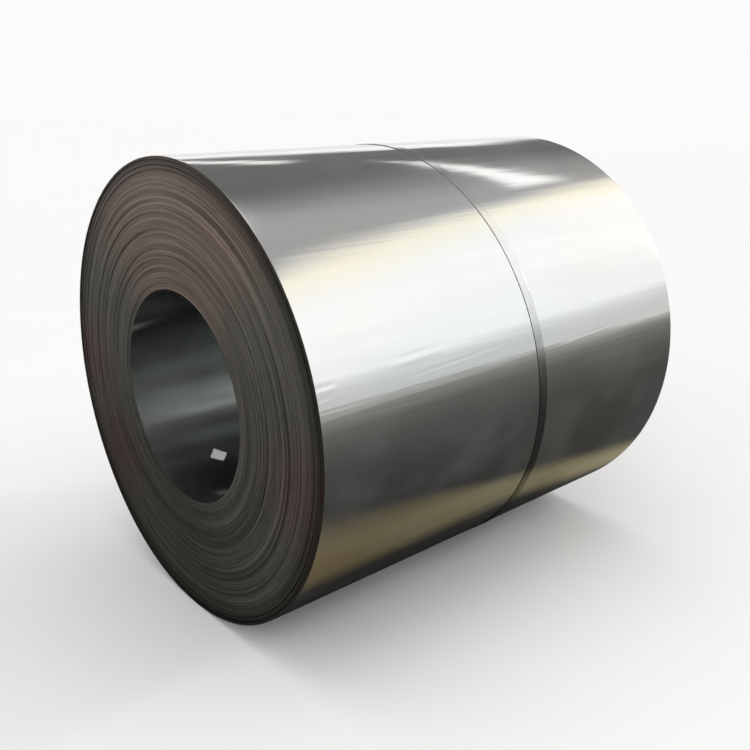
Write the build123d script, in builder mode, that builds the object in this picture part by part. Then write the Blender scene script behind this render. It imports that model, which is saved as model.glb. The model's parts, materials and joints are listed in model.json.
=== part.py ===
"""Cold-rolled steel coil lying with its eye level, held by one slanted steel strap.

The eye's axis runs along Y. The end with the label faces -Y, and the coil rests on the strap at Z = 0.
Lengths are in millimetres. Angles round the eye are in degrees, anticlockwise from +X seen from the label's end.
"""
import os
from math import cos, degrees, hypot, radians, sin

from build123d import *

# Coil of sheet, wound on a 20 inch mandrel
bore_diameter = 508.0
coil_diameter = 1100.0
sheet_width = 1200.0
sheet_thickness = 1.5
tail_angle = 275.0

# Turns on the ends: each band of turns ends at a share of the build-up, a share of the wander behind the proudest
turn_wander = 4.0
front_band_shares = [
    (0.05, 0.75), (0.13, 0.30), (0.24, 0.45), (0.36, 0.15), (0.47, 0.35), (0.62, 0.00),
    (0.72, 0.25), (0.81, 0.10), (0.90, 0.40), (0.955, 0.15), (0.985, 0.55), (1.00, 0.30),
]
back_band_shares = [
    (0.04, 1.00), (0.11, 0.40), (0.21, 0.20), (0.33, 0.50), (0.45, 0.10), (0.57, 0.30),
    (0.74, 0.00), (0.86, 0.35), (0.95, 0.15), (1.00, 0.45),
]

# Slack turns near the outside, where a gap stands open between two turns
slack_gap = 1.2
slack_depth = 9.0
slack_gap_shares = [0.935, 0.972]

# Steel strap round the belly, nearer the front at the top of the coil than at its foot
strap_width = 25.4
strap_thickness = 0.9
strap_seat = 0.3
strap_offset = 52.0
strap_slant = 37.0
strap_lap = 150.0

# Seal crimped over the lap of the strap
seal_length = 58.0
seal_wall = 1.0
seal_clearance = 0.3
seal_angle = 155.0
notch_radius = 4.0
notch_pitch = 26.0
notch_columns = 2

# Paper label on the wall of the bore
label_length = 36.0
label_height = 33.0
label_thickness = 0.3
label_seat = 0.3
label_depth = 161.0
label_angle = 243.5
label_tilt = 45.0

# Run-out of every cut
overrun = 10.0

bore_radius = bore_diameter / 2
coil_radius = coil_diameter / 2
strap_inner = coil_radius + strap_seat
strap_outer = strap_inner + strap_thickness
lap_outer = strap_outer + strap_thickness
axis_height = strap_outer

eye_axis = Axis((0, 0, axis_height), (0, -1, 0))
eye_plane = Plane(origin=(0, 0, axis_height), x_dir=(1, 0, 0), z_dir=(0, -1, 0))
strap_plane = Plane(
    origin=(0, strap_offset, axis_height), x_dir=(1, 0, 0), z_dir=(0, coil_radius, strap_slant)
)


def outward(angle):
    """Unit vector away from the eye's axis at an angle round it."""
    return Vector(cos(radians(angle)), 0, sin(radians(angle)))


def radial_plane(angle):
    """Half plane through the eye's axis, with x outward and y along the axis."""
    return Plane(origin=eye_plane.origin, x_dir=outward(angle), z_dir=outward(angle + 90))


def wall_point(radius, y, angle):
    """Point at a radius, a place along the eye and an angle round it."""
    return eye_plane.origin + outward(angle) * radius + Vector(0, y, 0)


def turned_band(inner, outer, length, middle, start=0, arc=360):
    """Turn a rectangle round the eye's axis, in the open part."""
    with BuildSketch(radial_plane(start)) as section:
        with Locations(((inner + outer) / 2, middle)):
            Rectangle(outer - inner, length)
    revolve(section.sketch, axis=eye_axis, revolution_arc=arc)


def strap_slab(width, mode):
    """Keep or cut what lies within a width of the slanted strap's middle plane, in the open part."""
    with BuildSketch(strap_plane) as disc:
        Circle(coil_diameter)
    extrude(disc.sketch, amount=width / 2, both=True, mode=mode)


def end_steps(band_shares, side):
    """Profile of the turns on one end, from the bore outwards, as points of radius and place along the eye."""
    build_up = coil_radius - bore_radius
    points = []
    start = bore_radius
    for edge_share, recess_share in band_shares:
        edge = bore_radius + edge_share * build_up
        y = side * (sheet_width / 2 - recess_share * turn_wander)
        points += [(start, y), (edge, y)]
        start = edge
    return points


# Coil: turned with its stepped ends and its bore, then trimmed to the spiral of the outermost turn
with BuildPart() as coil:
    with BuildSketch(radial_plane(0)):
        with BuildLine():
            front = end_steps(front_band_shares, -1)
            back = end_steps(back_band_shares, 1)
            rim_front = (coil_radius + overrun, front[-1][1])
            rim_back = (coil_radius + overrun, back[-1][1])
            Polyline(*front[:-1], rim_front, rim_back, *reversed(back[:-1]), close=True)
        make_face()
    revolve(axis=eye_axis)

    # Two half circles with centres half a sheet apart make the spiral and leave the sheet's end as a step
    with BuildSketch(eye_plane):
        with BuildLine():
            tail = Vector(cos(radians(tail_angle)), sin(radians(tail_angle)))
            last_half = CenterArc((0, 0), coil_radius, tail_angle, 180)
            half_before = CenterArc(
                tail * (-sheet_thickness / 2), coil_radius - sheet_thickness / 2, tail_angle + 180, 180
            )
            Line(half_before @ 1, last_half @ 0)
        make_face()
    extrude(amount=sheet_width, both=True, mode=Mode.INTERSECT)

    # Open gaps between the slack turns of both ends
    gap_radii = [bore_radius + share * (coil_radius - bore_radius) for share in slack_gap_shares]
    with BuildSketch(radial_plane(0)):
        with Locations(*[(radius, side * sheet_width / 2) for radius in gap_radii for side in (-1, 1)]):
            Rectangle(slack_gap, 2 * slack_depth)
    revolve(axis=eye_axis, mode=Mode.SUBTRACT)

coil.part.label = "coil"

# Strap: one strip that laps over itself under the seal
with BuildPart() as strap:
    strap_reach = 2 * (strap_slant + strap_width)
    turned_band(strap_inner, strap_outer, strap_reach, strap_offset)
    lap_arc = degrees(strap_lap / strap_outer)
    turned_band(strap_outer, lap_outer, strap_reach, strap_offset, seal_angle - lap_arc / 2, lap_arc)
    strap_slab(strap_width, Mode.INTERSECT)

strap.part.label = "strap"

# Seal: a sleeve over the lap, its two legs beside the strap and its edges notched by the crimping tool
with BuildPart() as strap_seal:
    seal_inner = lap_outer + seal_clearance
    seal_outer = seal_inner + seal_wall
    seal_channel = strap_width + 2 * seal_clearance
    seal_width = seal_channel + 2 * seal_wall
    seal_arc = degrees(seal_length / seal_inner)
    seal_start = seal_angle - seal_arc / 2
    turned_band(strap_inner, seal_inner, strap_reach, strap_offset, seal_start, seal_arc)
    strap_slab(seal_channel, Mode.SUBTRACT)
    turned_band(seal_inner, seal_outer, strap_reach, strap_offset, seal_start, seal_arc)
    strap_slab(seal_width, Mode.INTERSECT)

    seal_middle = strap_offset - strap_slant * sin(radians(seal_angle))
    seal_plane = Plane(
        origin=wall_point(seal_inner, seal_middle, seal_angle),
        x_dir=strap_plane.z_dir.cross(outward(seal_angle)),
        z_dir=outward(seal_angle),
    )
    with BuildSketch(seal_plane):
        with GridLocations(notch_pitch, seal_width, notch_columns, 2):
            Circle(notch_radius)
    extrude(amount=overrun, both=True, mode=Mode.SUBTRACT)

strap_seal.part.label = "strap_seal"

# Label: a sheet of paper that follows the wall of the bore
with BuildPart() as label:
    label_outer = bore_radius - label_seat
    label_inner = label_outer - label_thickness
    label_middle = label_depth - sheet_width / 2
    label_reach = 2 * hypot(label_length, label_height)
    label_arc = degrees(label_reach / bore_radius)
    turned_band(label_inner, label_outer, label_reach, label_middle, label_angle - label_arc / 2, label_arc)
    label_plane = Plane(
        origin=wall_point(label_inner, label_middle, label_angle), x_dir=(0, 1, 0), z_dir=outward(label_angle)
    )
    with BuildSketch(label_plane):
        Rectangle(label_length, label_height, rotation=label_tilt)
    extrude(amount=overrun, both=True, mode=Mode.INTERSECT)

label.part.label = "label"

os.makedirs("parts", exist_ok=True)
for piece in (coil, strap, strap_seal, label):
    export_step(piece.part, f"parts/{piece.part.label}.step")
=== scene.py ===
"""Cold-rolled steel coil lying with its eye level: the wound sheet, a slanted strap, its seal and a label.

Everything is in metres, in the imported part's frame: the eye's axis runs along Y, and the end with the label
faces -Y. Angles round the eye are anticlockwise from +X, seen from the label's end.
"""
import json
import random
from math import atan2, cos, degrees, exp, pi, radians, sin, tau

import bmesh
import bpy
from mathutils import Matrix, Vector, noise


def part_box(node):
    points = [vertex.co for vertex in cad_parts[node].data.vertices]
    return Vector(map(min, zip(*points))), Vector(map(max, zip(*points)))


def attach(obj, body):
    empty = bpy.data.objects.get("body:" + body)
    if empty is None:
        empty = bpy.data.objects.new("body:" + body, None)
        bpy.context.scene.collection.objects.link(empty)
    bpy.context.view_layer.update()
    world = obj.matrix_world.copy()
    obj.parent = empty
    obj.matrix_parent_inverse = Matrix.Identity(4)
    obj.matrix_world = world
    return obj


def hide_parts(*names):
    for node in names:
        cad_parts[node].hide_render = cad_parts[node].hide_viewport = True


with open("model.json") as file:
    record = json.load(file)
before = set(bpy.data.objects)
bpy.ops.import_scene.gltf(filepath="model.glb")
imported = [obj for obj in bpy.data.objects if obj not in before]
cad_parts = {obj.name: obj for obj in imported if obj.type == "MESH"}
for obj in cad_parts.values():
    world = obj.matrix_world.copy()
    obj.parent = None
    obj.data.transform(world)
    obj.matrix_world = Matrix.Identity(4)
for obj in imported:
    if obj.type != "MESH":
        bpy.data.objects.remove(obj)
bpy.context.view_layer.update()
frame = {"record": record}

# Coil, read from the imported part
eye = next(mount for mount in frame["record"]["mounts"] if mount["name"] == "eye_bore")
eye_height = eye["pos_m"][2]
bore_radius = eye["dims"]["r_mm"] / 1000
coil_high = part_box("coil")[1]
coil_radius = coil_high.z - eye_height
half_width = coil_high.y

# Turns of sheet, each drawn at its own place
sheet_thickness = 0.0015
turns = round((coil_radius - bore_radius) / sheet_thickness)
pitch = (coil_radius - bore_radius) / turns
tail_angle = radians(275)
columns = 120
head_column = 78
head_lead = 0.0005
skin_rings = 24

# Wander of the sheet's edges: each band of turns ends at a share of the build-up, a share of the wander back
turn_wander = 0.004
front_bands = [
    (0.05, 0.75), (0.13, 0.30), (0.24, 0.45), (0.36, 0.15), (0.47, 0.35), (0.62, 0.00),
    (0.72, 0.25), (0.81, 0.10), (0.90, 0.40), (0.955, 0.15), (0.985, 0.55), (1.00, 0.30),
]
back_bands = [
    (0.04, 1.00), (0.11, 0.40), (0.21, 0.20), (0.33, 0.50), (0.45, 0.10), (0.57, 0.30),
    (0.74, 0.00), (0.86, 0.35), (0.95, 0.15), (1.00, 0.45),
]
front_seed = 11
back_seed = 23
group_turns = (2, 8)
group_wander = 0.0022
fine_wander = 0.0006
wander_swing = 0.8
swing_lumps = 1.5
swing_turns = 6
slack_shares = (0.935, 0.972)
slack_depth = 0.009

# Skin of the outermost turn: shallow dents, and rims that fall away at rings so far in from the ends
skin_dent = 0.0005
dents_per_metre = 5
rim_reach = 0.004
rim_drop = 0.00012
rim_ring_shares = (0.25, 0.6, 1.0)

# Creases in the skin: angle in degrees, place along the eye, half length, half width and height
crease_skew = 0.045
skin_creases = [
    (18.2, -0.336, 0.080, 0.0080, 0.00040),
    (14.6, -0.228, 0.170, 0.0045, 0.00022),
    (16.5, -0.577, 0.035, 0.0070, 0.00035),
    (14.2, -0.586, 0.024, 0.0045, 0.00020),
    (21.5, -0.060, 0.120, 0.0040, 0.00012),
    (12.5, 0.260, 0.140, 0.0040, 0.00014),
    (118.0, -0.260, 0.140, 0.0050, 0.00020),
    (146.0, 0.330, 0.090, 0.0060, 0.00025),
    (-150.0, -0.120, 0.150, 0.0050, 0.00020),
]

# Strap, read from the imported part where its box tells
strap_width = 0.0254
strap_thickness = 0.0009
strap_low, strap_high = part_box("strap")
strap_middle = (strap_low.y + strap_high.y) / 2
strap_slant = (strap_high.y - strap_low.y - strap_width) / 2
strap_seat = 0.0003
strap_columns = 180
strap_lap = 0.150
lap_columns = 8
strap_round = 0.0003

# Seal over the strap's lap
seal_angle = radians(155)
seal_length = 0.058
seal_wall = 0.001
seal_clearance = 0.0003
seal_foot = 0.0004
seal_round = 0.0012
seal_columns = 36
crimp_depth = 0.0022
crimp_reach = 0.0035
crimp_pitch = 0.026

# Label on the wall of the bore
label_angle = radians(243.5)
label_middle = -0.439
label_length = 0.036
label_height = 0.033
label_tilt = radians(45)
label_thickness = 0.0003
label_seat = 0.0003
label_cells = 14
label_stuck_share = 0.35
label_curl = 0.006

# Meshes: corners this near are one, and edges that bend by so much or more are sharp, or square
merge_reach = 1e-6
sharp_turn = radians(35)
sharp_edge = radians(50)
square_edge = radians(60)

# Finishes of the wound sheet, in the order of its material slots
skin_slot, edge_slot, bore_slot = range(3)

# Colours of the finishes
skin_warm = (0.60, 0.59, 0.565, 1)
skin_cool = (0.575, 0.585, 0.59, 1)
bore_warm = (0.67, 0.69, 0.675, 1)
bore_cool = (0.65, 0.685, 0.67, 1)
edge_grey = (0.262, 0.248, 0.219, 1)
edge_brown = (0.33, 0.262, 0.225, 1)
edge_rust = (0.25, 0.13, 0.115, 1)
strap_clean = (0.56, 0.56, 0.55, 1)
# Painted shade: darker colours of the strap and seal round the lower half of the coil
strap_lower_shade = (0.24, 0.24, 0.235, 1)
seal_clean = (0.50, 0.50, 0.49, 1)
seal_lower_shade = (0.40, 0.40, 0.39, 1)
paper_clean = (0.88, 0.88, 0.87, 1)
paper_smudged = (0.70, 0.69, 0.66, 1)

# Rust on the ends, at angles in degrees and shares of the build-up
rust_places = [(180, 0.80), (214, 0.64), (350, 0.80)]
rust_core = 0.04
rust_reach = 0.17
# Side of the ends darkened by painted shade, as light falls from above
shaded_side_angle = radians(245)

# Gloss drawn out along the eye: the sheet's texture space lies this far aside, so that its grain runs along Y
far_aside = 1000

# Studio: pale floor, and a dark card just above it
floor_reach = 40
floor_pale = (0.945, 0.945, 0.945, 1)
floor_white = (0.975, 0.975, 0.975, 1)
card_reach = 38
card_lift = 0.00005
# Painted reflection of lit floor beside the coil, on the dark card: near end and far end
floor_glow_near = (0.26, 0.20, 0.10, 1)
floor_glow_far = (0.40, 0.35, 0.21, 1)

# Light of the studio
room_level = 0.6
shaded_drop = 0.38
tube_level = 1.8
horizon_level = 0.965
roof_level = 1.3
front_level = 1.4
ceiling_level = 1.62
lamp_level = 60
light_white = (1, 1, 1, 1)
light_cool = (0.95, 0.985, 1, 1)
light_warm = (1, 0.95, 0.77, 1)
front_direction = (0.33, -0.87, 0.36)

# Camera, placed as the photograph was taken
photo_frame = 750
photo_focal = 866.1
sensor_width = 36.0
camera_place = (1.7348, -1.5016, 1.2375)
camera_azimuth = radians(49.007)
camera_elevation = radians(18.305)


def round_eye(radius, angle, y):
    """Point at a radius and an angle round the eye, at a place along it."""
    return Vector((radius * cos(angle), y, eye_height + radius * sin(angle)))


def spiral_rise(round_share):
    """Outward shift of a turn, in turns, at a share of its way clockwise from the sheet's end."""
    return (1 - cos(tau * min(round_share, 0.5))) / 2


def shade_smooth(mesh, sharp_from):
    """Shade a mesh smooth, and sharp at edges that bend by an angle or more."""
    for face in mesh.faces:
        face.smooth = True
    for edge in mesh.edges:
        edge.smooth = edge.calc_face_angle(pi) < sharp_from


def made_of(name, mesh, materials):
    """Make an object of a shaped mesh and its finishes."""
    data = bpy.data.meshes.new(name)
    mesh.to_mesh(data)
    mesh.free()
    for material in materials:
        data.materials.append(material)
    made = bpy.data.objects.new(name, data)
    bpy.context.scene.collection.objects.link(made)
    return made


def finished(name, mesh, materials, node):
    """Make a piece of a shaped mesh, with its finishes, in the place of a node of the part."""
    piece = made_of(name, mesh, materials)
    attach(piece, "root")
    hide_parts(node)
    return piece


# Finishes

class Wire:
    """A shader socket that takes part in sums: each sum adds a Math node."""

    def __init__(self, finish, socket):
        self.finish = finish
        self.socket = socket

    def __add__(self, other):
        return self.finish.math("ADD", self, other)

    def __sub__(self, other):
        return self.finish.math("SUBTRACT", self, other)

    def __rsub__(self, other):
        return self.finish.math("SUBTRACT", other, self)

    def __mul__(self, other):
        return self.finish.math("MULTIPLY", self, other)

    def __truediv__(self, other):
        return self.finish.math("DIVIDE", self, other)

    __radd__ = __add__
    __rmul__ = __mul__


class Finish:
    """The nodes of one material, or of the studio's walls."""

    def __init__(self, tree):
        self.tree = tree
        self.tree.nodes.clear()

    def node(self, kind, settings=None, sockets=None, output=0):
        """Add a node: its settings, then the values or links of its sockets. Gives one of its outputs."""
        made = self.tree.nodes.new("ShaderNode" + kind)
        for name, value in (settings or {}).items():
            setattr(made, name, value)
        for name, value in (sockets or {}).items():
            if isinstance(value, Wire):
                self.tree.links.new(value.socket, made.inputs[name])
            else:
                made.inputs[name].default_value = value
        return None if output is None else Wire(self, made.outputs[output])

    def parts(self, place):
        """The three values of a place."""
        made = self.node("SeparateXYZ", {}, {0: place}).socket.node
        return [Wire(self, socket) for socket in made.outputs]

    def math(self, operation, *terms):
        """One sum on values."""
        return self.node("Math", {"operation": operation}, dict(enumerate(terms)))

    def blend(self, share, first, second):
        """Mix two colours."""
        return self.node("Mix", {"data_type": "RGBA"}, {0: share, 6: first, 7: second}, 2)

    def shaded(self, colour, strength):
        """Darken or lighten a colour by a value."""
        grey = self.node("CombineColor", {}, {0: strength, 1: strength, 2: strength})
        settings = {"data_type": "RGBA", "blend_type": "MULTIPLY"}
        return self.node("Mix", settings, {0: 1.0, 6: colour, 7: grey}, 2)

    def step(self, value, low, high, at_low=0.0, at_high=1.0):
        """Go softly from one value to another as an input goes from low to high."""
        settings = {"interpolation_type": "SMOOTHSTEP"}
        return self.node("MapRange", settings, {0: value, 1: low, 2: high, 3: at_low, 4: at_high})

    def ramp(self, value, low, high, at_low=0.0, at_high=1.0):
        """Go evenly from one value to another as an input goes from low to high."""
        return self.node("MapRange", {}, {0: value, 1: low, 2: high, 3: at_low, 4: at_high})

    def fade(self, value, low, high):
        """Go softly from 1 to 0 as an input goes from low to high."""
        return self.step(value, low, high, 1.0, 0.0)

    def between(self, value, start, full, fading, end):
        """Go softly from 0 at start to 1 at full, and from 1 at fading back to 0 at end."""
        return self.step(value, start, full) * self.fade(value, fading, end)

    def towards(self, value, goal, share):
        """Move a value a share of the way to a goal."""
        return value + (goal - value) * share

    def grain(self, place, stretch, detail=2.0, roughness=0.5):
        """Noise, with so many lumps for each unit of a place's three values."""
        scaled = self.node("VectorMath", {"operation": "MULTIPLY"}, {0: place, 1: stretch})
        sockets = {"Vector": scaled, "Scale": 1.0, "Detail": detail, "Roughness": roughness}
        return self.node("TexNoise", {}, sockets)


def new_finish(name):
    """A new material and its empty nodes."""
    material = bpy.data.materials.new(name)
    material.use_nodes = True
    return material, Finish(material.node_tree)


def surface(finish, sockets):
    """Close a material with its shader."""
    shader = finish.node("BsdfPrincipled", {}, sockets)
    finish.node("OutputMaterial", {}, {"Surface": shader}, None)


def crease_height(finish, around, along, crease):
    """Height of one crease, a ledge that faces up, at a place round the coil in radians and along the eye."""
    angle, middle, half_length, half_breadth, height = crease
    beyond = (along - middle) / half_length
    beside = ((around - radians(angle)) * coil_radius - crease_skew * (along - middle)) / half_breadth
    taper = finish.math("MAXIMUM", 1 - beyond * beyond, 0.0)
    return -height * taper * beside * finish.math("EXPONENT", -1 * beside * beside)


def rolled_skin(name, warm, cool, gloss, drawn_out, wave, low_darkening, creases):
    """Bright cold-rolled sheet: faint roll lines run round it, buckles, wipe marks and creases along it.

    Smears dull it here and there, and its colour is darker along its lowest part.
    """
    material, finish = new_finish(name)
    place = finish.node("TexCoord", {}, {}, "Object")
    across, along, up = finish.parts(place)
    around = finish.math("ARCTAN2", up - eye_height, across)
    clouds = finish.grain(place, (1.3, 1.1, 1.3), 3)
    roll_lines = finish.grain(place, (1.5, 130, 1.5), 4)
    roll_bands = finish.grain(place, (0.8, 11, 0.8), 2)
    wipes = finish.grain(place, (16, 0.7, 16), 3)
    smears = finish.step(finish.grain(place, (7, 4, 7), 5), 0.46, 0.72)
    tone = 0.98 + 0.03 * (roll_lines - 0.5) + 0.03 * (roll_bands - 0.5) + 0.15 * (wipes - 0.5)
    # Colour darker along the lowest part, by a given share
    tone = tone * finish.step(finish.math("SINE", around), -0.72, -0.5, 1 - low_darkening, 1.0)
    tint = finish.blend(finish.step(clouds, 0.35, 0.65), warm, cool)
    swell = finish.grain(place, (2.6, 2.2, 2.6), 1)
    buckle = finish.grain(place, (9, 0.9, 9), 1)
    streaks = finish.grain(place, (34, 1.3, 34), 3)
    height = wave * (swell + 0.3 * buckle + 0.14 * streaks)
    for crease in creases:
        height = height + crease_height(finish, around, along, crease)
    surface(finish, {
        "Base Color": finish.shaded(tint, tone),
        "Metallic": 1 - 0.045 * smears,
        "Anisotropic": drawn_out,
        "Roughness": gloss + 0.06 * (wipes - 0.5) + 0.05 * (clouds - 0.5) + 0.03 * smears,
        "Normal": finish.node("Bump", {}, {"Strength": 1.0, "Distance": 1.0, "Height": height}),
    })
    return material


def rust_spots(finish, across, up):
    """Share of rust on an end, at a place across and up from the eye's axis: it fades round each spot."""
    rust = 0.0
    for angle, share in rust_places:
        middle = round_eye(bore_radius + share * (coil_radius - bore_radius), radians(angle), 0)
        aside = across - middle.x
        above = up + eye_height - middle.z
        near = finish.math("SQRT", aside * aside + above * above)
        rust = rust + finish.fade(near, rust_core, rust_reach)
    return rust


def slit_edges():
    """The sheet's slit edges on the coil's ends: dull steel, turn by turn, with dark gaps between groups.

    It is brown at the top, rusty in three places, and darker in the outermost turns and low down: that
    darkening is painted shade.
    """
    material, finish = new_finish("slit_edges")
    place = finish.node("TexCoord", {}, {}, "Object")
    across, _, up = finish.parts(place)
    up = up - eye_height
    radius = finish.math("SQRT", across * across + up * up)
    angle = finish.math("ARCTAN2", up, across)
    round_share = finish.math("FRACT", (tail_angle - angle) / tau)
    rise = 0.5 - 0.5 * finish.math("COSINE", tau * finish.math("MINIMUM", round_share, 0.5))
    turn = (radius - bore_radius) / pitch - rise
    across_share, up_share = across / radius, up / radius

    # Lines that follow the turns, each a little wavy
    around = finish.node("CombineXYZ", {}, {0: across_share, 1: up_share, 2: turn})
    wavy = turn + 2.5 * (finish.grain(around, (1.6, 1.6, 0.03), 2) - 0.5)
    around = finish.node("CombineXYZ", {}, {0: across_share, 1: up_share, 2: wavy})
    groups = finish.grain(around, (0.8, 0.8, 0.16), 1)
    lines = finish.grain(around, (0.9, 0.9, 0.45), 3, 0.6)
    flecks = finish.grain(around, (9, 9, 0.7), 2, 0.6)
    each = finish.node("TexWhiteNoise", {"noise_dimensions": "1D"}, {"W": finish.math("FLOOR", turn)})
    gap = finish.node("TexVoronoi", {"voronoi_dimensions": "1D", "feature": "DISTANCE_TO_EDGE"},
                      {"W": wavy, "Scale": 0.23, "Randomness": 1.0}, "Distance")
    come_and_go = finish.step(finish.grain(around, (1.4, 1.4, 0.3), 1), 0.3, 0.55)
    open_gap = 1 - 0.65 * come_and_go * finish.fade(gap, 0.02, 0.11)

    # Painted shade: the outermost turns darker, as in the shadow of their recess, and the low side darker
    # with the high side a little lighter, as light falls from above
    outer = finish.step(turn / turns, 0.80, 0.97, 1.0, 0.4)
    low_side = across_share * cos(shaded_side_angle) + up_share * sin(shaded_side_angle)
    low_side_shade = finish.step(low_side, 0.2, 1.0, 1.04, 0.68)
    tone = 0.31 + groups + 1.05 * (lines - 0.5) + 0.36 * (each - 0.5) + 0.6 * (flecks - 0.5)
    tone = tone * open_gap * outer * low_side_shade

    # Brown top and rust
    clouds = finish.grain(place, (3, 3, 3), 3)
    warm = finish.step(up_share + 0.4 * (clouds - 0.5), 0.6, 0.85)
    bare = finish.blend(warm, edge_grey, edge_brown)
    rust = rust_spots(finish, across, up) * finish.step(lines, 0.35, 0.65, 0.2, 0.75)
    surface(finish, {
        "Base Color": finish.shaded(finish.blend(rust, bare, edge_rust), tone),
        "Metallic": 0.88,
        "Roughness": 0.46 + 0.12 * (lines - 0.5) + 0.2 * rust,
    })
    return material


def strapping(name, clean, lower_shade, gloss):
    """Bare steel strip with fine lines and rubbed patches, darker round the lower half of the coil: a painted
    shade for the dark reflection there.
    """
    material, finish = new_finish(name)
    place = finish.node("TexCoord", {}, {}, "Object")
    up = finish.parts(place)[2]
    lines = finish.grain(place, (6, 420, 6), 3)
    rubs = finish.grain(place, (22, 22, 22), 3)
    # Painted shade: the colour darkens round the lower half of the coil, standing in for the dark reflection
    # there
    colour = finish.blend(finish.step(up + 0.15 * (rubs - 0.5), 0.5, 0.85), lower_shade, clean)
    surface(finish, {
        "Base Color": finish.shaded(colour, 0.88 + 0.16 * lines + 0.15 * (rubs - 0.5)),
        "Metallic": 1.0,
        "Roughness": gloss + 0.06 * (rubs - 0.5) + 0.04 * (lines - 0.5),
    })
    return material


def label_paper():
    """Matt white paper, a little creased and grubby, with nothing on it."""
    material, finish = new_finish("label_paper")
    place = finish.node("TexCoord", {}, {}, "Object")
    smudge = finish.grain(place, (60, 60, 60), 3)
    fibre = finish.grain(place, (900, 900, 900), 2)
    colour = finish.blend(finish.step(smudge, 0.5, 0.8), paper_clean, paper_smudged)
    bump = finish.node("Bump", {}, {"Strength": 0.4, "Distance": 0.0002, "Height": fibre + 2 * smudge})
    surface(finish, {
        "Base Color": finish.shaded(colour, 0.95 + 0.1 * (fibre - 0.5)),
        "Roughness": 0.75 + 0.1 * (smudge - 0.5),
        "Normal": bump,
    })
    return material


# Wound sheet

def edge_drift(seed):
    """How far each turn lies back from its band: a few turns lie alike, and each differs a little."""
    draw = random.Random(seed)
    drift = []
    while len(drift) < turns + 2:
        group = draw.uniform(0, group_wander)
        for turn in range(draw.randint(*group_turns)):
            drift.append(group + draw.uniform(0, fine_wander))
    return drift


def setback(place, angle, bands, drift):
    """How far the sheet's edge lies behind the end of the coil, so many turns out from the bore."""
    share = min(place / turns, 1.0)
    band = next(behind for edge, behind in bands if share <= edge)
    turn = int(place)
    fine = drift[turn] + (place - turn) * (drift[turn + 1] - drift[turn])
    spot = (swing_lumps * cos(angle), swing_lumps * sin(angle), place / swing_turns)
    swing = 1 + wander_swing * noise.noise(spot)
    for slack_share in slack_shares:
        if 0 <= place - slack_share * turns < 1:
            return slack_depth
    return band * turn_wander + fine * swing


def section_of_turns():
    """Section of the wound sheet as (turns out from the bore, its turn, its end, place along the eye)."""
    section = []
    for turn in range(turns):
        section += [(turn, turn, -1, -half_width), (turn + 1, turn, -1, -half_width)]
    rims = [half_width - share * rim_reach for share in rim_ring_shares]
    section += [(turns, turns - 1, -1, -y) for y in rims]
    for ring in range(1, skin_rings):
        section.append((turns, turns - 1, 0, half_width * (2 * ring / skin_rings - 1)))
    section += [(turns, turns - 1, 1, y) for y in reversed(rims)]
    for turn in reversed(range(turns)):
        section += [(turn + 1, turn, 1, half_width), (turn, turn, 1, half_width)]
    return section


def spin_turns(mesh, marks):
    """Spin the section of the turns once round the eye. Gives the corners where it ends."""
    out_mark, turn_mark, end_mark = marks
    corners = []
    for out, turn, end, y in section_of_turns():
        corner = mesh.verts.new(round_eye(bore_radius + out * pitch, tail_angle, y))
        corner[out_mark], corner[turn_mark], corner[end_mark] = out, turn, end
        corners.append(corner)
    edges = [mesh.edges.new(pair) for pair in zip(corners, corners[1:] + corners[:1])]
    spun = bmesh.ops.spin(
        mesh, geom=corners + edges, cent=(0, 0, eye_height), axis=(0, 1, 0), angle=tau, steps=columns
    )
    return {corner for corner in spun["geom_last"] if isinstance(corner, bmesh.types.BMVert)}


def draw_out(mesh, marks, last):
    """Draw the spun turns out to a spiral, with the wander of their edges and the dents of the skin.

    The first turn starts at the sheet's head, part of the way round: before it, its two faces fall together.
    """
    out_mark, turn_mark, end_mark = marks
    front_drift, back_drift = edge_drift(front_seed), edge_drift(back_seed)
    for corner in mesh.verts:
        angle = atan2(corner.co.z - eye_height, corner.co.x)
        column = columns if corner in last else round((tail_angle - angle) / tau * columns) % columns
        round_share = column / columns
        angle = tail_angle - round_share * tau
        out, place = corner[out_mark], corner[turn_mark] + round_share
        if out == 0 and column < head_column:
            out = 1
            if column == head_column - 1:
                angle = tail_angle - head_column / columns * tau + head_lead
        radius = bore_radius + (out + spiral_rise(round_share) - 1) * pitch
        y = corner.co.y
        if corner[end_mark] < 0:
            y += setback(place, angle, front_bands, front_drift)
        elif corner[end_mark] > 0:
            y -= setback(place, angle, back_bands, back_drift)
        if out == turns:
            inset = half_width - abs(corner.co.y)
            radius -= rim_drop * max(0, 1 - inset / rim_reach) ** 2
            radius -= skin_dent * (0.5 + 0.5 * noise.noise(corner.co * dents_per_metre))
        corner.co = round_eye(radius, angle, y)


def sort_finishes(mesh, marks):
    """Give each face of the wound sheet its finish: the skin, the wall of the bore or the slit edges."""
    out_mark, _, end_mark = marks
    for face in mesh.faces:
        outs = {corner[out_mark] for corner in face.verts}
        ends = {corner[end_mark] for corner in face.verts}
        if outs == {turns}:
            face.material_index = skin_slot
        elif ends == {-1, 1}:
            face.material_index = bore_slot
        else:
            face.material_index = edge_slot


def wound_sheet():
    """One long sheet wound round the eye, with the sheet's two ends closed."""
    mesh = bmesh.new()
    marks = [mesh.verts.layers.int.new(name) for name in ("out", "turn", "end")]
    last = spin_turns(mesh, marks)
    draw_out(mesh, marks, last)
    bmesh.ops.remove_doubles(mesh, verts=mesh.verts, dist=merge_reach)
    bmesh.ops.holes_fill(mesh, edges=[edge for edge in mesh.edges if edge.is_boundary], sides=0)
    bmesh.ops.recalc_face_normals(mesh, faces=mesh.faces)
    sort_finishes(mesh, marks)
    shade_smooth(mesh, sharp_turn)
    return mesh


# Strap and seal

def strap_shift(point):
    """Lay a ring over to the strap's slant."""
    point.y += strap_middle - strap_slant * (point.z - eye_height) / (coil_radius + strap_seat)


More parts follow.
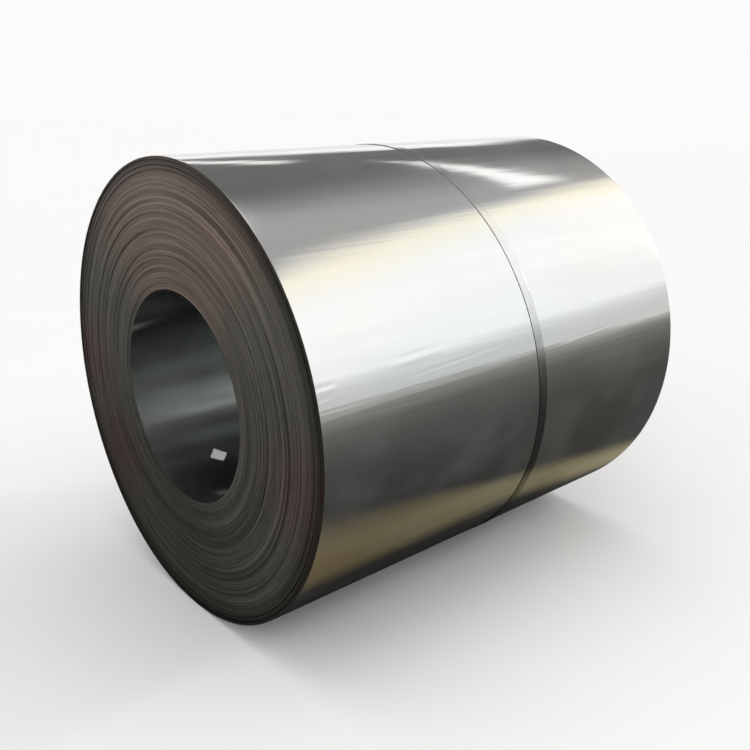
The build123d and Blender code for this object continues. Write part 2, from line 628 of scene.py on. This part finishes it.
def strap_ring(mesh, inner, start, arc, steps, closed):
    """Spin the strap's section round the eye."""
    across = strap_width / 2
    outer = inner + strap_thickness
    flat = across - 3 * strap_round
    places = [
        (inner, -across), (outer, -across), (outer, -flat), (outer, flat), (outer, across), (inner, across),
    ]
    corners = [mesh.verts.new(round_eye(radius, start, y)) for radius, y in places]
    section = mesh.faces.new(corners) if not closed else None
    edges = [mesh.edges.get(pair) or mesh.edges.new(pair) for pair in zip(corners, corners[1:] + corners[:1])]
    geom = corners + edges + ([section] if section else [])
    bmesh.ops.spin(
        mesh, geom=geom, cent=(0, 0, eye_height), axis=(0, -1, 0), angle=arc, steps=steps, use_merge=closed
    )


def slanted_strap():
    """One strip round the coil with rounded edges, lapped over itself under the seal."""
    mesh = bmesh.new()
    inner = coil_radius + strap_seat
    strap_ring(mesh, inner, 0, tau, strap_columns, True)
    lap = strap_lap / inner
    strap_ring(mesh, inner + strap_thickness, seal_angle - lap / 2, lap, lap_columns, False)
    bmesh.ops.remove_doubles(mesh, verts=mesh.verts, dist=merge_reach)
    bmesh.ops.recalc_face_normals(mesh, faces=mesh.faces)
    long_edges = [edge for edge in mesh.edges if edge.calc_face_angle(0) > square_edge]
    bmesh.ops.bevel(
        mesh, geom=long_edges, offset=strap_round, segments=2, profile=0.5, affect="EDGES", material=-1
    )
    for corner in mesh.verts:
        strap_shift(corner.co)
    shade_smooth(mesh, sharp_edge)
    return mesh


def crimped_seal():
    """Sleeve bent over the lap of the strap, its sides crimped in where the tool bit."""
    mesh = bmesh.new()
    inner = coil_radius + strap_seat
    top = inner + 2 * strap_thickness + seal_clearance + seal_wall
    across = strap_width / 2 + seal_clearance + seal_wall
    arc = seal_length / top
    places = [(inner + seal_foot, -across), (top, -across), (top, across), (inner + seal_foot, across)]
    corners = [mesh.verts.new(round_eye(radius, seal_angle - arc / 2, y)) for radius, y in places]
    edges = [mesh.edges.new(pair) for pair in zip(corners, corners[1:])]
    bmesh.ops.spin(
        mesh, geom=corners + edges, cent=(0, 0, eye_height), axis=(0, -1, 0), angle=arc, steps=seal_columns
    )
    bmesh.ops.remove_doubles(mesh, verts=mesh.verts, dist=merge_reach)
    shoulders = [edge for edge in mesh.edges if edge.calc_face_angle(0) > square_edge]
    bmesh.ops.bevel(
        mesh, geom=shoulders, offset=seal_round, segments=3, profile=0.5, affect="EDGES", material=-1
    )
    bmesh.ops.recalc_face_normals(mesh, faces=mesh.faces)
    bmesh.ops.solidify(mesh, geom=mesh.faces, thickness=seal_wall)
    for corner in mesh.verts:
        along = (atan2(corner.co.z - eye_height, corner.co.x) - seal_angle) * top
        crimp = sum(exp(-((along - side * crimp_pitch / 2) / crimp_reach) ** 2) for side in (-1, 1))
        edge_share = abs(corner.co.y) / across
        corner.co.y *= 1 - crimp_depth / across * crimp * edge_share ** 4
        strap_shift(corner.co)
    bmesh.ops.recalc_face_normals(mesh, faces=mesh.faces)
    shade_smooth(mesh, sharp_edge)
    return mesh


# Label

def blank_label():
    """Piece of paper stuck to the wall of the bore, with one corner lifting."""
    mesh = bmesh.new()
    bmesh.ops.create_grid(mesh, x_segments=label_cells, y_segments=label_cells, size=0.5)
    turned = Matrix.Rotation(label_tilt, 2)
    for corner in mesh.verts:
        lifted = max(0, corner.co.x + corner.co.y - label_stuck_share)
        along, around = turned @ Vector((corner.co.x * label_length, corner.co.y * label_height))
        radius = bore_radius - label_seat - label_curl * lifted ** 2
        corner.co = round_eye(radius, label_angle + around / bore_radius, label_middle + along)
    bmesh.ops.recalc_face_normals(mesh, faces=mesh.faces)
    bmesh.ops.solidify(mesh, geom=mesh.faces, thickness=label_thickness)
    bmesh.ops.recalc_face_normals(mesh, faces=mesh.faces)
    shade_smooth(mesh, sharp_edge)
    return mesh


# Studio

def laid_flat(name, reach, height, material):
    """Lay a sheet of the studio flat, at a height over the ground."""
    mesh = bmesh.new()
    bmesh.ops.create_grid(mesh, x_segments=1, y_segments=1, size=reach)
    bmesh.ops.translate(mesh, verts=mesh.verts, vec=(0, 0, height))
    sheet = made_of(name, mesh, [material])
    return sheet


def studio_floor():
    """Plain pale floor, faintly mottled."""
    material, finish = new_finish("floor_paint")
    place = finish.node("TexCoord", {}, {}, "Object")
    mottle = finish.grain(place, (2, 2, 2), 3)
    surface(finish, {
        "Base Color": finish.blend(mottle, floor_pale, floor_white),
        "Roughness": 0.9,
    })
    laid_flat("floor", floor_reach, 0, material)


def dark_card():
    """Dark card on the floor, seen only in reflections, a painted reflection of the surroundings: paler far
    off, dark as painted shadow under the coil, and a warm painted glow of lit floor close beside it.
    """
    material, finish = new_finish("card_black")
    place = finish.node("TexCoord", {}, {}, "Object")
    across, along, _ = finish.parts(place)
    aside = finish.math("ABSOLUTE", across)
    # Painted reflection: the card pales far off, as the surroundings seen there are lighter
    tone = finish.ramp(aside, 1.0, 11.0, 0.045, 0.48)
    card = finish.node("CombineColor", {}, {0: tone, 1: 0.985 * tone, 2: 0.91 * tone})
    # Painted glow of lit floor in a strip beside the coil, with painted shadow inside it, under the coil
    strip_edge = aside - 0.5 + 0.25 * finish.math("MAXIMUM", along - 0.3, 0.0)
    strip_fade = finish.ramp(along, -0.3, 0.3, 0.46, 0.14)
    strip = finish.step(strip_edge, -0.15, -0.03) * finish.fade(strip_edge / strip_fade, 0.1, 1.0)
    strip = strip * finish.between(along, -0.8, -0.5, 1.3, 1.8)
    floor_glow = finish.blend(finish.step(along, -0.3, 0.4), floor_glow_near, floor_glow_far)
    surface(finish, {
        "Base Color": finish.blend(strip, card, floor_glow),
        "Roughness": 0.9,
    })
    card_sheet = laid_flat("dark_card", card_reach, card_lift, material)
    card_sheet.visible_camera = False
    card_sheet.visible_diffuse = False
    card_sheet.visible_shadow = False
    card_sheet.visible_transmission = False


# Light of the studio, in degrees turned to the right of +Y and degrees raised

def bright_wall(finish, turned, raised):
    """Bright wall, whose top edge climbs to the right. Gives its share, and the way up to its top."""
    edge = finish.math("MINIMUM", turned, 21)
    under_top = 41.3 + 0.85 * edge - 0.02 * edge * edge - raised
    inside = turned + 10 - 1.4 * finish.math("MAXIMUM", 33 - raised, 0)
    wall = finish.step(under_top, -5, 5) * finish.step(inside, -6, 5) * finish.fade(turned, 58, 68)
    return wall, under_top


def wall_level(finish, raised):
    """Level of the bright wall, which dims towards its foot."""
    level = finish.ramp(raised, 3, 7, horizon_level, 1.12) + finish.ramp(raised, 7, 11, 0.0, 0.42)
    return level + finish.ramp(raised, 14, 28, 0.0, 0.1)


def tube_of_light(finish, turned, raised):
    """Tube of light across the grey room, widening to the right."""
    off_middle = turned + 9
    off_tube = finish.math("ABSOLUTE", raised - 37.6 + 0.008 * off_middle * off_middle)
    tube = finish.fade(off_tube / finish.ramp(turned, -36, -10, 0.5, 1.7), 0.6, 1.3)
    return tube * finish.between(turned, -44, -34, -13, -7)


def roof_lights(finish, turned, raised):
    """Roof lights low at the far left: a broad row, and a short strip above it that climbs to the right."""
    row = finish.between(raised, 10, 12, 15, 18) * finish.between(turned, -68, -61, -42, -36)
    off_strip = finish.math("ABSOLUTE", raised - 24.5 - 0.6 * (turned + 54))
    strip = finish.fade(off_strip, 0.9, 2.2) * finish.between(turned, -63, -60, -51, -48)
    return finish.math("MAXIMUM", row, strip)


def small_lamp(finish, turned, raised):
    """Small lamp low behind the coil, seen through the eye."""
    beside, above = turned - 16, raised - 17
    off_lamp = finish.math("SQRT", beside * beside + above * above)
    return finish.fade(off_lamp, 1.0, 4.5)


def shaded_room(finish, turned, raised):
    """Shaded part of the grey room, behind the coil."""
    shaded = 1 - finish.step(turned, -40, -4) * finish.step(raised, 22, 32)
    return shaded * finish.between(turned, -120, -75, 100, 120)


def studio_walls():
    """Soft light from all round: a grey room with its wall and lights, a pale horizon and a soft ceiling."""
    world = bpy.data.worlds.new("studio")
    bpy.context.scene.world = world
    world.use_nodes = True
    finish = Finish(world.node_tree)
    facing = finish.node("TexCoord", {}, {}, "Generated")
    across, along, up = finish.parts(facing)
    turned = finish.math("ARCTAN2", across, along) * degrees(1)
    raised = finish.math("ARCSINE", up) * degrees(1)
    wall, under_top = bright_wall(finish, turned, raised)
    front = finish.node("VectorMath", {"operation": "DOT_PRODUCT"}, {0: facing, 1: front_direction}, 1)
    front = finish.step(front, 0.7, 0.95) * finish.step(raised, 8, 14)
    ceiling = finish.step(raised - 20 * across, 58, 68)

    level = room_level - shaded_drop * shaded_room(finish, turned, raised)
    level = finish.towards(level, tube_level, tube_of_light(finish, turned, raised))
    level = finish.towards(level, horizon_level, finish.fade(raised, 10, 13))
    level = finish.towards(level, roof_level, roof_lights(finish, turned, raised))
    level = finish.towards(level, wall_level(finish, raised), wall)
    level = finish.towards(level, front_level, front)
    level = finish.towards(level, ceiling_level, ceiling)
    level = level + lamp_level * small_lamp(finish, turned, raised)
    colour = finish.blend(finish.fade(raised, 8, 30) * wall, light_white, light_cool)
    colour = finish.blend(finish.fade(under_top, 1, 15) * wall, colour, light_warm)
    background = finish.node("Background", {}, {"Color": colour, "Strength": level})
    finish.node("OutputWorld", {}, {"Surface": background}, None)


# Camera

def photo_camera():
    """Camera at the photograph's viewing angle."""
    data = bpy.data.cameras.new("camera")
    data.sensor_width = sensor_width
    data.lens = sensor_width * photo_focal / photo_frame
    camera = bpy.data.objects.new("camera", data)
    bpy.context.scene.collection.objects.link(camera)
    camera.location = camera_place
    camera.rotation_euler = (pi / 2 - camera_elevation, 0, camera_azimuth)
    bpy.context.scene.camera = camera


bpy.context.scene.view_settings.view_transform = "Standard"
photo_camera()
studio_walls()
studio_floor()
dark_card()

skin = rolled_skin(
    "rolled_skin", skin_warm, skin_cool,
    gloss=0.085, drawn_out=0.0, wave=0.003, low_darkening=0.0, creases=skin_creases,
)
bore_wall = rolled_skin(
    "bore_wall", bore_warm, bore_cool,
    gloss=0.19, drawn_out=0.95, wave=0.0006, low_darkening=0.42, creases=[],
)
strap_steel = strapping("strap_steel", strap_clean, strap_lower_shade, gloss=0.1)
seal_steel = strapping("seal_steel", seal_clean, seal_lower_shade, gloss=0.28)
coil_turns = finished("coil_turns", wound_sheet(), [skin, slit_edges(), bore_wall], "coil")
coil_turns.data.use_auto_texspace = False
coil_turns.data.texspace_location = (-far_aside, 0, 0)
coil_turns.data.texspace_size = (1, 1, 1)
finished("slanted_strap", slanted_strap(), [strap_steel], "strap")
finished("crimped_seal", crimped_seal(), [seal_steel], "strap_seal")
finished("blank_label", blank_label(), [label_paper()], "label")
